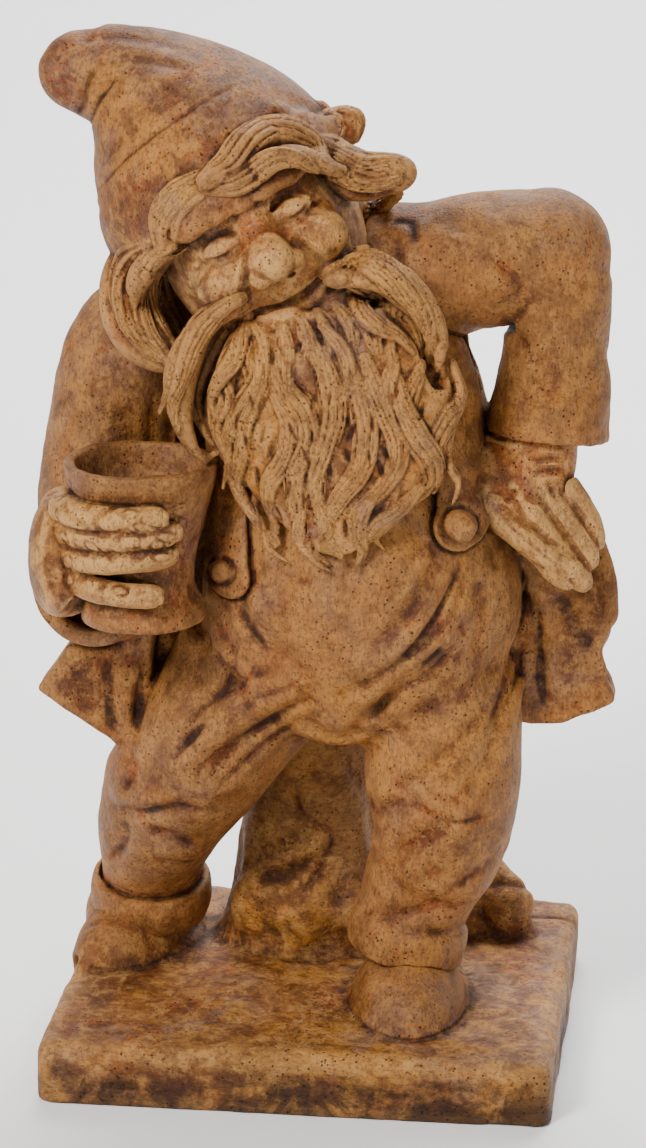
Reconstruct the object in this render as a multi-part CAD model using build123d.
"""Hollow press-moulded terracotta garden gnome, 790 mm tall, standing on a plinth with a beaker in its hand.

The figure is made as its potter makes it: hollow moulded sections and rolled or pressed solid pieces that
are luted together where they meet. Every section is a separate solid that ends on its neighbour's face.
Frame: +Z up, -Y is the gnome's front, +X is the gnome's left, in millimetres. The origin is the centre of the
plinth's underside.
"""

from build123d import *
import math
import os

# ---------------------------------------------------------------- driving dimensions
PLINTH_WIDTH = 380
PLINTH_DEPTH = 342
PLINTH_HEIGHT = 44
WALL = 14  # fired clay wall of the hollow sections
THIN_WALL = 10  # wall of the head, cap and sleeves

HEAD_CENTRE = (-38, -40, 640)
HEAD_RADII = (74, 80, 88)
HEAD_ROLL = -29  # degrees about Y: the crown leans towards the gnome's right

MUG_CENTRE = (-119, -100)
MUG_BASE_Z = 362
MUG_HEIGHT = 121
MUG_WALL = 8
MUG_FLOOR_DEPTH = 34  # from the rim down to the floor of the drinking bowl

FINGER_RADIUS = 9.5
FINGER_TAPER = (1.5, 1, 0, -0.5, -2)  # added to the radius, from the knuckle to the tip
MIN_PIECE = 400  # mm3: smaller fragments left by a seam cut are swept away


# ---------------------------------------------------------------- shape helpers
def tangents(stations):
    """The direction of a path at each of its stations."""
    points = [Vector(*s[:3]) for s in stations]
    last = len(points) - 1
    return [(points[min(i + 1, last)] - points[max(i - 1, 0)]).normalized() for i in range(len(points))]


def limb(stations, side=(1, 0, 0)):
    """A smooth solid through elliptical stations (x, y, z, side radius, depth radius), square to its path."""
    faces = []
    for station, tangent in zip(stations, tangents(stations)):
        point = Vector(*station[:3])
        across = Vector(*side)
        across = across - tangent * across.dot(tangent)
        plane = Plane(origin=point, x_dir=across, z_dir=tangent)
        faces.append(plane * Ellipse(station[3], station[4]))
    return loft(faces)


def level_loft(stations):
    """A smooth upright solid through horizontal ellipses (x, y, z, x radius, y radius)."""
    return loft([Plane((x, y, z)) * Ellipse(rx, ry) for x, y, z, rx, ry in stations])


def thinner(stations, wall):
    """The same stations drawn in by a wall."""
    return [(*s[:3], s[3] - wall, s[4] - wall) for s in stations]


def ellipsoid(centre, radii, roll=0, yaw=0):
    """A ball stretched to three radii, rolled about Y, then turned about Z (degrees), with tiny flat poles."""
    rx, ry, rz = radii
    levels = [math.radians(t) for t in (9, 24, 42, 62, 82, 98, 118, 138, 156, 171)]
    rings = [(0, 0, -rz * math.cos(t), rx * math.sin(t), ry * math.sin(t)) for t in levels]
    return Pos(*centre) * Rot(0, roll, 0) * Rot(0, 0, yaw) * level_loft(rings)


def keep_above(shape, z):
    """The part of a shape above a level."""
    span = 1200  # taller and wider than the whole figure
    return shape & (Pos(0, 0, z + span / 2) * Box(span, span, span))


def rope(points, radii):
    """A solid roll of clay through points, thick as radii says, drawn in at both ends."""
    stations = [(*p, r, r) for p, r in zip(points, radii)]
    along = tangents(stations)
    for end, direction in ((0, along[0] * -1), (-1, along[-1])):
        r = radii[end]
        closing = (*(Vector(*points[end]) + direction * (0.7 * r)), 0.5 * r, 0.5 * r)
        stations = [closing, *stations] if end == 0 else [*stations, closing]
    sides = ((1, 0, 0), (0, 1, 0), (0, 0, 1))
    squarest = min(sides, key=lambda side: max(abs(Vector(*side).dot(t)) for t in tangents(stations)))
    return limb(stations, squarest)


def seam(shape, *neighbours):
    """A shape cut back to its neighbours' faces, without the crumbs that a cut can leave."""
    box = shape.bounding_box()
    for other in neighbours:
        near = other.bounding_box()
        apart = any(a > b for a, b in zip(near.min, box.max)) or any(a < b for a, b in zip(near.max, box.min))
        if not apart:
            shape = shape - other
    solids = [s for s in shape.solids() if s.volume > MIN_PIECE]
    return Compound(children=solids) if len(solids) > 1 else solids[0]


# ---------------------------------------------------------------- plinth, stump and shoes
PLINTH_RIM = 24
PLINTH_SLAB = 18
PLINTH_RIB = 16
CORNER_RADIUS = 9
TOP_ROUNDING = 7
VENT_RADIUS = 12

STUMP = [
    (-22, 78, PLINTH_HEIGHT, 74, 62),
    (-20, 76, 72, 62, 54),
    (-18, 74, 120, 56, 50),
    (-12, 68, 180, 50, 44),
    (-2, 60, 258, 42, 38),
]
STUMP_VENT = (-22, 78)
ROCK = [
    (104, 112, PLINTH_HEIGHT, 46, 40),
    (108, 114, 76, 38, 32),
    (112, 116, 106, 16, 14),
]

LEFT_SHOE = {"centre": (76, -50), "radii": (44, 84, 50), "yaw": 5}
RIGHT_SHOE = {"centre": (-150, 40), "radii": (40, 74, 46), "yaw": -20}
SOLE_THICKNESS = 7
SOLE_MARGIN = 2


def make_plinth():
    """A ribbed slab, open underneath, with a vent up into the stump."""
    slab = Pos(0, 0, PLINTH_HEIGHT / 2) * Box(PLINTH_WIDTH, PLINTH_DEPTH, PLINTH_HEIGHT)
    slab = fillet(slab.edges().filter_by(Axis.Z), CORNER_RADIUS)
    slab = fillet(slab.edges().group_by(Axis.Z)[-1], TOP_ROUNDING)
    pocket_x = (PLINTH_WIDTH - 2 * PLINTH_RIM - PLINTH_RIB) / 2
    pocket_y = (PLINTH_DEPTH - 2 * PLINTH_RIM - PLINTH_RIB) / 2
    pocket_z = PLINTH_HEIGHT - PLINTH_SLAB
    for sx in (-1, 1):
        for sy in (-1, 1):
            centre = (sx * (pocket_x + PLINTH_RIB) / 2, sy * (pocket_y + PLINTH_RIB) / 2, pocket_z / 2)
            slab = slab - Pos(*centre) * Box(pocket_x, pocket_y, pocket_z)
    return slab - Pos(*STUMP_VENT, PLINTH_HEIGHT) * Cylinder(VENT_RADIUS, 3 * PLINTH_SLAB)


def make_shoe(centre, radii, yaw):
    """A slipper: a pressed upper and heel on a thin sole, flat on the plinth."""
    place = Pos(*centre, PLINTH_HEIGHT) * Rot(0, 0, yaw)
    rx, ry, rz = radii
    toe = place * ellipsoid((0, -0.1 * ry, 0), (rx, 0.9 * ry, rz))
    heel = place * ellipsoid((0, 0.45 * ry, 0), (0.82 * rx, 0.55 * ry, 0.95 * rz))
    sole = place * extrude(Ellipse(rx + SOLE_MARGIN, ry + SOLE_MARGIN), SOLE_THICKNESS)
    return keep_above(toe + heel, PLINTH_HEIGHT) + sole


# ---------------------------------------------------------------- legs and trunk
RIGHT_LEG = [
    (-140, 45, 84, 41, 43),
    (-139, 42, 110, 40, 43),
    (-136, 30, 136, 43, 47),
    (-116, 2, 188, 54, 54),
    (-80, -16, 246, 60, 60),
    (-45, -12, 306, 64, 66),
]
LEFT_LEG = [
    (73, -45, 86, 40, 42),
    (77, -45, 118, 42, 44),
    (89, -45, 150, 47, 48),
    (100, -48, 210, 57, 56),
    (98, -34, 268, 60, 62),
    (82, -16, 318, 62, 66),
]
RIGHT_CUFF = [(-141, 46, 82, 47, 49), (-139, 42, 96, 49, 51), (-138, 39, 110, 46, 48)]
LEFT_CUFF = [(72, -45, 86, 45, 47), (75, -45, 100, 47, 49), (78, -45, 114, 45, 47)]

BELLY = [
    (22, -40, 258, 26, 36),
    (25, -28, 284, 78, 70),
    (32, -24, 326, 114, 88),
    (35, -22, 372, 120, 97),
    (30, -18, 420, 110, 96),
    (24, -12, 470, 101, 88),
]
LEG_VENTS = [((70, -25, 300), 24), ((-32, -20, 304), 20)]  # from the trunk's hollow into the legs
CHEST = [
    (24, -12, 470, 101, 88),
    (14, -4, 520, 101, 78),
    (2, 2, 565, 98, 68),
    (-8, 4, 596, 80, 56),
    (-12, 4, 612, 60, 46),
]
BRACE_THICKNESS = 5
BRACE_WIDTH = 34
BRACE_RISE = 132  # from the button up towards the shoulder
BRACE_LEAN = 4  # degrees, and the mm that the strap is set in from the button
BRACE_REACH = 160  # deep enough front to back to pass through the trunk's skin
BUTTON_RADIUS = 12
BUTTON_HEIGHT = 6
BUTTON_DOME = (9, 9, 3)
BUTTON_TURN_SHARE = 0.8  # of the turn that would face it straight out from the trunk's axis
LEFT_BUTTON = (115, -92, 438)
RIGHT_BUTTON = (-58, -84, 396)


def make_leg(stations, trunk, shoe):
    """A hollow trouser leg between the shoe's instep and the trunk."""
    return seam(limb(stations) - limb(thinner(stations, WALL)), trunk, shoe)


def make_brace(button, neighbours, swollen_trunk):
    """A strap over the trunk from the shoulder to its button, as thick as the swollen trunk stands proud."""
    x, y, z = button
    tab = Cylinder(BRACE_WIDTH / 2, BRACE_REACH, rotation=(90, 0, 0))
    band = Box(BRACE_WIDTH - BRACE_LEAN, BRACE_REACH, BRACE_RISE)
    band = Pos(x - BRACE_LEAN, y, z + BRACE_RISE / 2) * Rot(0, -BRACE_LEAN, 0) * band
    return seam((Pos(x, y, z) * tab + band) & swollen_trunk, *neighbours)


def make_button(button):
    """A low domed button standing on the brace's tab."""
    x, y, z = button
    lean = BUTTON_TURN_SHARE * math.degrees(math.atan2(x - BELLY[3][0], -y))
    face = Pos(x, y, z) * Rot(0, 0, lean) * Rot(90, 0, 0)
    shank = 3 * BUTTON_HEIGHT
    dome = Pos(0, 0, shank / 2) * scale(Sphere(1), by=BUTTON_DOME)
    return face * (Cylinder(BUTTON_RADIUS, shank) + dome)


# ---------------------------------------------------------------- coat and sleeves
COAT_WALL = 13
COAT = [
    (12, 36, 262, 172, 86),
    (14, 28, 330, 160, 90),
    (14, 18, 400, 149, 94),
    (6, 12, 470, 131, 94),
    (-5, 8, 540, 122, 84),
    (-10, 6, 596, 104, 70),
]
COAT_FRONT_Y = -14  # the coat hangs open in front of this plane
COAT_OPENING = (420, 400, 400)
COAT_OPENING_CENTRE = (6, 430)
LEFT_SKIRT = [(143, 436), (150, 262), (188, 266), (228, 284), (216, 318), (226, 356), (214, 410), (190, 440)]
RIGHT_SKIRT = [(-122, 345), (-190, 322), (-214, 286), (-146, 238), (-128, 262)]
SKIRT_THICKNESS = 26
LEFT_SKIRT_Y = -12  # each flap's front face
RIGHT_SKIRT_Y = -38

LEFT_UPPER_ARM = [(72, 0, 600, 47, 46), (100, 3, 606, 50, 50), (132, 7, 612, 50, 50), (166, 12, 616, 46, 47)]
LEFT_FOREARM = [
    (171, 11, 606, 45, 45),
    (176, 9, 580, 41, 42),
    (177, 7, 548, 40, 41),
    (175, 3, 515, 43, 44),
    (172, 0, 486, 47, 48),
]
LEFT_ELBOW = (168, 12, 616)
LEFT_ELBOW_RADIUS = 48
RIGHT_UPPER_ARM = [
    (-123, 6, 566, 46, 46),
    (-145, 8, 530, 50, 50),
    (-159, 9, 474, 50, 50),
    (-166, 6, 418, 50, 50),
    (-168, 0, 376, 50, 50),
]
RIGHT_ELBOW = (-168, 0, 370)
RIGHT_ELBOW_RADIUS = 50
RIGHT_FOREARM = [(-168, -24, 368, 47, 49), (-171, -48, 372, 46, 48), (-173, -72, 378, 46, 48)]


def make_coat_back(keep_clear):
    """The C-shaped back and sides of the coat, open in front."""
    shell = level_loft(COAT) - level_loft(thinner(COAT, COAT_WALL))
    x, z = COAT_OPENING_CENTRE
    opening = Pos(x, COAT_FRONT_Y - COAT_OPENING[1] / 2, z) * Box(*COAT_OPENING)
    return seam(shell - opening, *keep_clear)


def make_skirt(outline, front_y, keep_clear):
    """A thick flap of the coat, cut to its outline."""
    face = Plane.XZ * make_face(Polyline([*outline, outline[0]]))
    flap = Pos(0, front_y + SKIRT_THICKNESS, 0) * extrude(face, SKIRT_THICKNESS)
    return seam(flap, *keep_clear)


# ---------------------------------------------------------------- mug and hands
MUG_PROFILE = [(45, 0), (46, 8), (41, 20), (39, 38), (43, 64), (51, 94), (57, MUG_HEIGHT)]
MUG_FOOT_RECESS = 10
MUG_CORE_RADIUS = 22  # the sealed hollow between the foot and the bowl
MUG_CORE_HEIGHT = 64
MUG_CORE_Z = 40
MUG_FILLER_RADIUS = 38  # stands for the mug's hollows when fingers are cut back to it


def make_mug():
    """A waisted beaker with a drinking bowl above and a hollow foot below."""
    outer = Spline([(r, z) for r, z in MUG_PROFILE])
    rim_radius = MUG_PROFILE[-1][0] - MUG_WALL
    base_radius = MUG_PROFILE[0][0]
    lines = outer + Polyline([(base_radius, 0), (0, 0), (0, MUG_HEIGHT), (MUG_PROFILE[-1][0], MUG_HEIGHT)])
    body = revolve(Plane.XZ * make_face(lines), Axis.Z)
    bowl_floor = MUG_HEIGHT - MUG_FLOOR_DEPTH
    bowl = Pos(0, 0, bowl_floor + MUG_FLOOR_DEPTH / 2) * Cone(rim_radius - 8, rim_radius, MUG_FLOOR_DEPTH)
    foot = Pos(0, 0, MUG_FOOT_RECESS / 2) * Cylinder(base_radius - 2 * MUG_WALL, MUG_FOOT_RECESS)
    core = Pos(0, 0, MUG_CORE_Z) * Cylinder(MUG_CORE_RADIUS, MUG_CORE_HEIGHT)
    return Pos(*MUG_CENTRE, MUG_BASE_Z) * (body - bowl - foot - core)


def mug_radius(height):
    """The beaker's outside radius at a height above its base, between the profile's points."""
    for (r0, z0), (r1, z1) in zip(MUG_PROFILE, MUG_PROFILE[1:]):
        if z0 <= height <= z1:
            return r0 + (r1 - r0) * (height - z0) / (z1 - z0)
    return MUG_PROFILE[-1][0]


RIGHT_FINGERS = [  # (height on the mug at the knuckle, height at the tip, angle of the tip round the mug)
    (88, 92, 294),
    (70, 79, 306),
    (50, 62, 305),
    (34, 30, 292),
]
KNUCKLE_ANGLE = 192
RIGHT_PALM = [(-182, -78, 402, 28, 46), (-186, -98, 410, 24, 48), (-180, -122, 416, 15, 42)]
LEFT_PALM = [(168, -4, 492, 34, 32), (164, -18, 464, 36, 27), (160, -30, 438, 32, 20)]
LEFT_FINGERS = [
    [(152, -40, 438), (172, -48, 414), (196, -48, 389)],
    [(163, -38, 446), (184, -44, 420), (208, -44, 386)],
    [(174, -34, 454), (194, -38, 432), (212, -38, 402)],
    [(184, -26, 464), (202, -27, 444), (216, -28, 414)],
]
LEFT_THUMB = [(140, -34, 450), (146, -58, 428), (166, -64, 406)]
LEFT_THUMB_RADII = [11, 10, 7.5]


def wrap_finger(knuckle_height, tip_height, tip_angle):
    """One finger lying round the outside of the mug, from the knuckle to the tip."""
    points = []
    steps = 4
    for i in range(steps + 1):
        share = i / steps
        angle = math.radians(KNUCKLE_ANGLE + share * (tip_angle - KNUCKLE_ANGLE))
        height = knuckle_height + share * (tip_height - knuckle_height)
        reach = mug_radius(height) + FINGER_RADIUS - 2
        x = MUG_CENTRE[0] + reach * math.cos(angle)
        y = MUG_CENTRE[1] + reach * math.sin(angle)
        points.append((x, y, MUG_BASE_Z + height))
    return rope(points, [FINGER_RADIUS + more for more in FINGER_TAPER])


def make_fingers(ropes, *neighbours):
    """A row of fingers as separate solids in one node, each cut back to the one before."""
    solids = []
    for finger in ropes:
        solids += seam(finger, *neighbours, *solids).solids()
    return Compound(children=solids)


# ---------------------------------------------------------------- head, hair and cap
NECK_OPENING = {"centre": (-22, -6, 580), "radius": 30, "height": 90}
NOSE = {"centre": (-28, -120, 634), "radii": (17, 15, 15)}
BEARD = [
    (4, -84, 604, 66, 34),
    (6, -88, 566, 96, 42),
    (12, -92, 526, 104, 42),
    (22, -98, 482, 84, 38),
    (27, -106, 446, 52, 28),
    (28, -114, 414, 12, 11),
]
RIGHT_MOUSTACHE = [(-36, -114, 606), (-60, -114, 594), (-82, -110, 566), (-88, -110, 524), (-70, -116, 482)]
RIGHT_MOUSTACHE_RADII = [8, 14, 20, 17, 7]
LEFT_MOUSTACHE = [(22, -116, 620), (46, -112, 626), (78, -100, 610), (98, -94, 582), (98, -98, 550)]
LEFT_MOUSTACHE_RADII = [9, 15, 19, 15, 7]
FORELOCK = [(-72, -104, 676), (-45, -110, 692), (-12, -106, 710), (22, -92, 700)]
FORELOCK_RADII = [9, 14, 13, 8]
RIGHT_TEMPLE = [(-80, -116, 652), (-110, -104, 632), (-124, -86, 606)]
RIGHT_TEMPLE_RADII = [9, 13, 11]
RIGHT_SIDE = [(-112, -66, 642), (-136, -60, 612), (-134, -62, 576), (-106, -78, 550)]
RIGHT_SIDE_RADII = [14, 24, 24, 12]
LEFT_SIDE = [(24, -84, 700), (46, -70, 684), (72, -56, 690), (66, -50, 710)]
LEFT_SIDE_RADII = [13, 18, 15, 10]
EAR_CURL = [(12, -28, 716), (30, -22, 724), (36, -18, 708)]
EAR_CURL_RADII = [10, 10, 8]
NAPE = {"centre": (-38, 4, 634), "radii": (82, 66, 66)}

CAP = [
    (-60, -28, 672, 93, 93),
    (-79, -27, 700, 85, 86),
    (-105, -25, 728, 65, 66),
    (-131, -23, 749, 43, 42),
    (-154, -21, 756, 32, 31),
]
CAP_TIP = {"centre": (-176, -20, 751), "radii": (32, 29, 29)}
CAP_BAND = [(-55, -28, 664, 97, 97), (-64, -28, 680, 97, 97), (-72, -27, 695, 92, 92)]
COLLAR = [(-14, -2, 604, 84, 66), (-16, -4, 622, 76, 60), (-18, -6, 636, 70, 56)]


def make_head(outer):
    """The hollow head with its nose, open below into the trunk."""
    inner = ellipsoid(HEAD_CENTRE, [r - THIN_WALL for r in HEAD_RADII], HEAD_ROLL)
    opening = Pos(*NECK_OPENING["centre"]) * Cylinder(NECK_OPENING["radius"], NECK_OPENING["height"])
    return seam(outer - inner - opening)


def make_all():
    """Every node of the gnome by name."""
    parts = {}

    # Filled outlines of the hollow sections, which their neighbours are cut back to.
    belly = level_loft(BELLY)
    chest = level_loft(CHEST)
    left_shoe = make_shoe(**LEFT_SHOE)
    right_shoe = make_shoe(**RIGHT_SHOE)
    left_leg = limb(LEFT_LEG)
    right_leg = limb(RIGHT_LEG)
    stump = level_loft(STUMP)
    left_arm = limb(LEFT_UPPER_ARM, (0, 1, 0)) + Pos(*LEFT_ELBOW) * Sphere(LEFT_ELBOW_RADIUS)
    left_forearm = limb(LEFT_FOREARM)
    right_arm = limb(RIGHT_UPPER_ARM) + Pos(*RIGHT_ELBOW) * Sphere(RIGHT_ELBOW_RADIUS)
    right_forearm = limb(RIGHT_FOREARM)
    coat = level_loft(COAT)
    head = ellipsoid(HEAD_CENTRE, HEAD_RADII, HEAD_ROLL) + ellipsoid(**NOSE)

    # Plinth, stump and shoes.
    parts["plinth"] = make_plinth()
    bore = level_loft(thinner(STUMP, WALL))
    parts["tree_stump"] = seam(stump - bore, belly, left_leg, right_leg, left_shoe, right_shoe)
    parts["back_rock"] = seam(level_loft(ROCK), stump, left_leg)
    parts["left_shoe"] = left_shoe
    parts["right_shoe"] = right_shoe

    # Legs, turn-ups and trunk.
    parts["left_trouser_leg"] = make_leg(LEFT_LEG, belly, left_shoe)
    parts["right_trouser_leg"] = make_leg(RIGHT_LEG, belly, right_shoe)
    parts["left_turn_up"] = seam(limb(LEFT_CUFF), left_leg, left_shoe, stump)
    parts["right_turn_up"] = seam(limb(RIGHT_CUFF), right_leg, right_shoe, stump)
    vents = [Pos(*centre) * Sphere(radius) for centre, radius in LEG_VENTS]
    parts["belly"] = seam(belly - level_loft(thinner(BELLY, WALL)) - vents[0] - vents[1])
    parts["chest"] = seam(chest - level_loft(thinner(CHEST, WALL)), head)
    swollen = level_loft(thinner(BELLY, -BRACE_THICKNESS)) + level_loft(thinner(CHEST, -BRACE_THICKNESS))
    left_button, right_button = make_button(LEFT_BUTTON), make_button(RIGHT_BUTTON)
    trunk = belly + chest
    parts["left_brace"] = make_brace(LEFT_BUTTON, (trunk, left_arm, head), swollen)
    parts["right_brace"] = make_brace(RIGHT_BUTTON, (trunk, right_arm, head), swollen)
    parts["left_brace_button"] = seam(left_button, belly, swollen)
    parts["right_brace_button"] = seam(right_button, belly, swollen)

    # Sleeves and coat.
    left_bore = limb(thinner(LEFT_UPPER_ARM, THIN_WALL), (0, 1, 0)) + Pos(*LEFT_ELBOW) * Sphere(
        LEFT_ELBOW_RADIUS - THIN_WALL
    )
    left_fore_bore = limb(thinner(LEFT_FOREARM, THIN_WALL))
    parts["left_upper_sleeve"] = seam(left_arm - left_bore - left_fore_bore, chest, head)
    parts["left_forearm_sleeve"] = seam(left_forearm - left_fore_bore, left_arm)
    right_bore = limb(thinner(RIGHT_UPPER_ARM, THIN_WALL)) + Pos(*RIGHT_ELBOW) * Sphere(
        RIGHT_ELBOW_RADIUS - THIN_WALL
    )
    right_fore_bore = limb(thinner(RIGHT_FOREARM, THIN_WALL))
    parts["right_upper_sleeve"] = seam(right_arm - right_bore - right_fore_bore, chest, belly)
    parts["right_forearm_sleeve"] = seam(right_forearm - right_fore_bore, right_arm)
    arms = (left_arm, left_forearm, right_arm, right_forearm)
    hand_parts = make_left_hand(left_forearm, swollen)
    hand = hand_parts["left_hand"] + hand_parts["left_fingers"] + hand_parts["left_thumb"]
    parts["coat_back"] = make_coat_back((swollen, *arms, left_leg, right_leg, stump, head, hand))
    flap_clear = (coat, belly, left_leg, left_forearm, hand)
    parts["coat_left_skirt"] = make_skirt(LEFT_SKIRT, LEFT_SKIRT_Y, flap_clear)
    flap_clear = (coat, belly, right_leg, right_arm, right_forearm)
    parts["coat_right_skirt"] = make_skirt(RIGHT_SKIRT, RIGHT_SKIRT_Y, flap_clear)
    parts.update(hand_parts)

    # Mug and the hand round it.
    mug = make_mug()
    filler = Cylinder(MUG_FILLER_RADIUS, MUG_HEIGHT)
    solid_mug = Pos(*MUG_CENTRE, MUG_BASE_Z + MUG_HEIGHT / 2) * filler + mug
    parts["mug"] = seam(mug)
    palm = limb(RIGHT_PALM, (1, 0, 0))
    parts["right_hand"] = seam(palm, solid_mug, right_arm)
    parts["right_forearm_sleeve"] = seam(parts["right_forearm_sleeve"], solid_mug)
    parts["right_hand"] = seam(parts["right_hand"], parts["right_forearm_sleeve"])
    fingers = [wrap_finger(*f) for f in RIGHT_FINGERS]
    parts["right_fingers"] = make_fingers(fingers, solid_mug, palm)

    # Head, cap, hair and beard.
    parts["head"] = make_head(head)
    cap_shape = limb(CAP)
    tip = ellipsoid(**CAP_TIP)
    band = limb(CAP_BAND)
    cap_bore = limb(thinner(CAP, THIN_WALL))
    parts["cap"] = seam(cap_shape - cap_bore, head)
    parts["cap_tip"] = seam(tip, cap_shape)
    parts["cap_band"] = seam(band, cap_shape, head)
    under = (head, cap_shape, band)
    locks = {
        "forelock": rope(FORELOCK, FORELOCK_RADII),
        "right_temple_lock": rope(RIGHT_TEMPLE, RIGHT_TEMPLE_RADII),
        "right_side_locks": rope(RIGHT_SIDE, RIGHT_SIDE_RADII),
        "left_side_locks": rope(LEFT_SIDE, LEFT_SIDE_RADII),
        "ear_curl": rope(EAR_CURL, EAR_CURL_RADII),
    }
    laid = []
    for name, lock in locks.items():
        parts[name] = seam(lock, *under, *laid, right_arm, left_arm)
        laid.append(lock)
    right_moustache = rope(RIGHT_MOUSTACHE, RIGHT_MOUSTACHE_RADII)
    left_moustache = rope(LEFT_MOUSTACHE, LEFT_MOUSTACHE_RADII)
    parts["right_moustache"] = seam(right_moustache, head, *laid, mug)
    parts["left_moustache"] = seam(left_moustache, head, right_moustache, left_arm)
    beard = level_loft(BEARD)
    rivals = (head, swollen, left_arm, right_arm, mug, coat)
    parts["beard"] = seam(beard, *rivals, *laid, right_moustache, left_moustache)
    nape = ellipsoid(NAPE["centre"], NAPE["radii"], HEAD_ROLL)
    parts["nape_hair"] = seam(nape, *under, chest, coat, left_arm, right_arm, beard, *laid)
    collar = limb(COLLAR) - limb(thinner(COLLAR, COAT_WALL))
    parts["coat_collar"] = seam(collar, chest, coat, *under, *arms, beard, nape, *laid)
    return parts


def make_left_hand(left_forearm, trunk):
    """The hand on the hip: palm, four fingers and thumb, each its own solid."""
    hand = {}
    palm = limb(LEFT_PALM)
    bore = limb(thinner(LEFT_FOREARM, THIN_WALL))
    sleeve = left_forearm - bore
    hand["left_hand"] = seam(palm, sleeve, trunk)
    fingers = [rope(p, [FINGER_RADIUS, FINGER_RADIUS, FINGER_RADIUS - 2]) for p in LEFT_FINGERS]
    hand["left_fingers"] = make_fingers(fingers, palm, sleeve, trunk)
    thumb = rope(LEFT_THUMB, LEFT_THUMB_RADII)
    hand["left_thumb"] = seam(thumb, palm, sleeve, trunk, *fingers)
    return hand


os.makedirs("parts", exist_ok=True)
for old in os.listdir("parts"):
    os.remove(os.path.join("parts", old))
for name, shape in make_all().items():
    export_step(shape, os.path.join("parts", name + ".step"))
    print(name, len(shape.solids()), round(shape.volume / 1000), "cm3")
